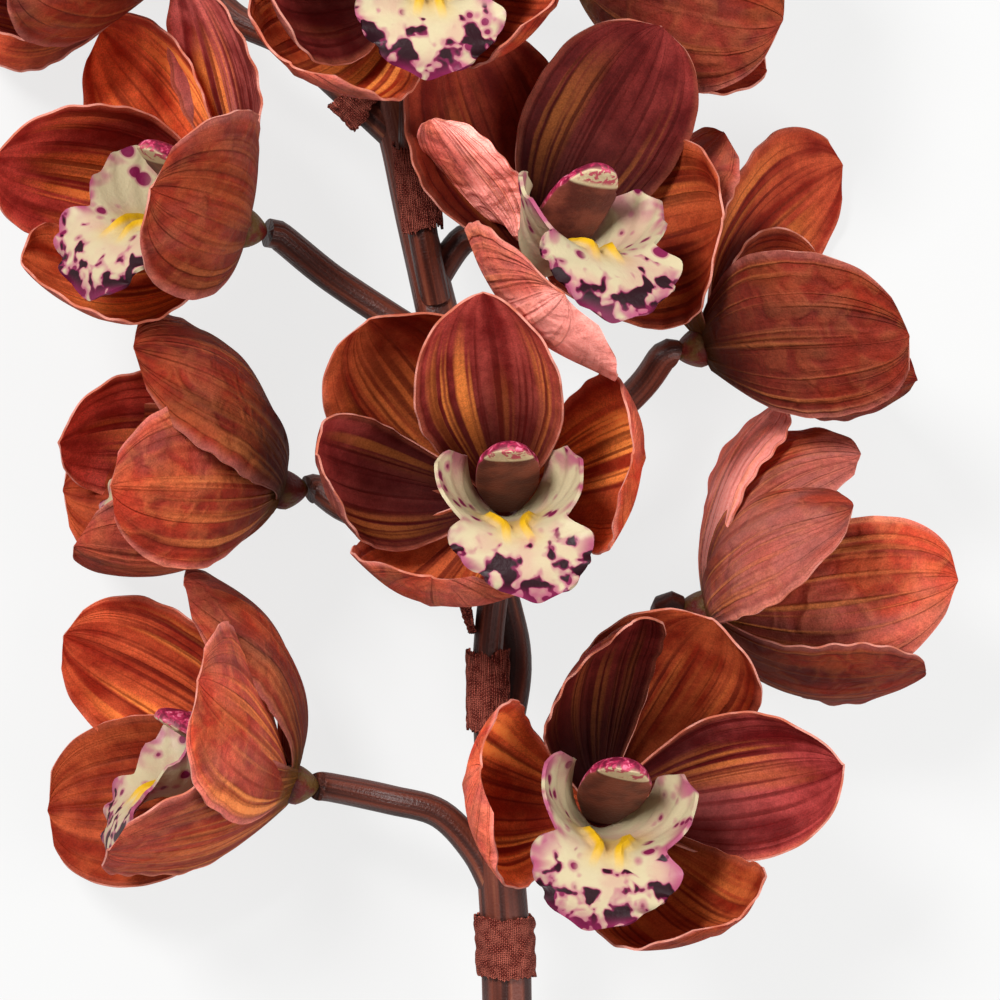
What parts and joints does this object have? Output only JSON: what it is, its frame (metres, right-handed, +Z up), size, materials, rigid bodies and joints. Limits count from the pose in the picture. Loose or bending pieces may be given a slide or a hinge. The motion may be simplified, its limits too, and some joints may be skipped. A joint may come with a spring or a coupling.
{
  "type": "cymbidium orchid stem",
  "caption": "Long gently curved orchid stem with short side stalks, cup-shaped blooms with lobed lips, cloth bracts and a closed bud at its tip; a decorative cut flower laid flat.",
  "frame": {"origin": "on the surface that the stem lies on, under the middle of its box", "axes": "+Y up the stem from its cut end to its tip, +X to the right seen from above, +Z up from the surface"},
  "size_m": [0.254, 0.5982, 0.1117],
  "materials": {
    "tepal_cloth": "printed woven cloth, matte, dark red veins on orange-red, pale cut edges",
    "lip_rubber": "moulded soft plastic, satin, ivory with yellow keels and dark magenta blotches",
    "column_rubber": "moulded soft plastic, satin, magenta streaks to a cream tip",
    "stem_plastic": "moulded, satin, chocolate brown with fine lengthwise ridges",
    "bract_cloth": "coarse woven cloth, matte, frayed edges",
    "bud_cloth": "woven cloth, matte"
  },
  "bodies": {
    "root": {"stem": "stem_plastic", "bract_1": "bract_cloth", "bract_2": "bract_cloth", "bract_3": "bract_cloth", "bract_4": "bract_cloth", "bract_5": "bract_cloth", "bud": "bud_cloth", "bloom_1_tepals": "tepal_cloth", "bloom_1_lip": "lip_rubber", "bloom_1_column": "column_rubber", "bloom_2_tepals": "tepal_cloth", "bloom_2_lip": "lip_rubber", "bloom_2_column": "column_rubber", "bloom_3_tepals": "tepal_cloth", "bloom_3_lip": "lip_rubber", "bloom_3_column": "column_rubber", "bloom_4_tepals": "tepal_cloth", "bloom_4_lip": "lip_rubber", "bloom_4_column": "column_rubber", "bloom_5_tepals": "tepal_cloth", "bloom_5_lip": "lip_rubber", "bloom_5_column": "column_rubber", "bloom_6_tepals": "tepal_cloth", "bloom_6_lip": "lip_rubber", "bloom_6_column": "column_rubber", "bloom_7_tepals": "tepal_cloth", "bloom_7_lip": "lip_rubber", "bloom_7_column": "column_rubber", "bloom_8_tepals": "tepal_cloth", "bloom_8_lip": "lip_rubber", "bloom_8_column": "column_rubber", "bloom_9_tepals": "tepal_cloth", "bloom_9_lip": "lip_rubber", "bloom_9_column": "column_rubber", "bloom_10_tepals": "tepal_cloth", "bloom_10_lip": "lip_rubber", "bloom_10_column": "column_rubber", "bloom_11_tepals": "tepal_cloth", "bloom_11_lip": "lip_rubber", "bloom_11_column": "column_rubber"}
  },
  "joints": []
}
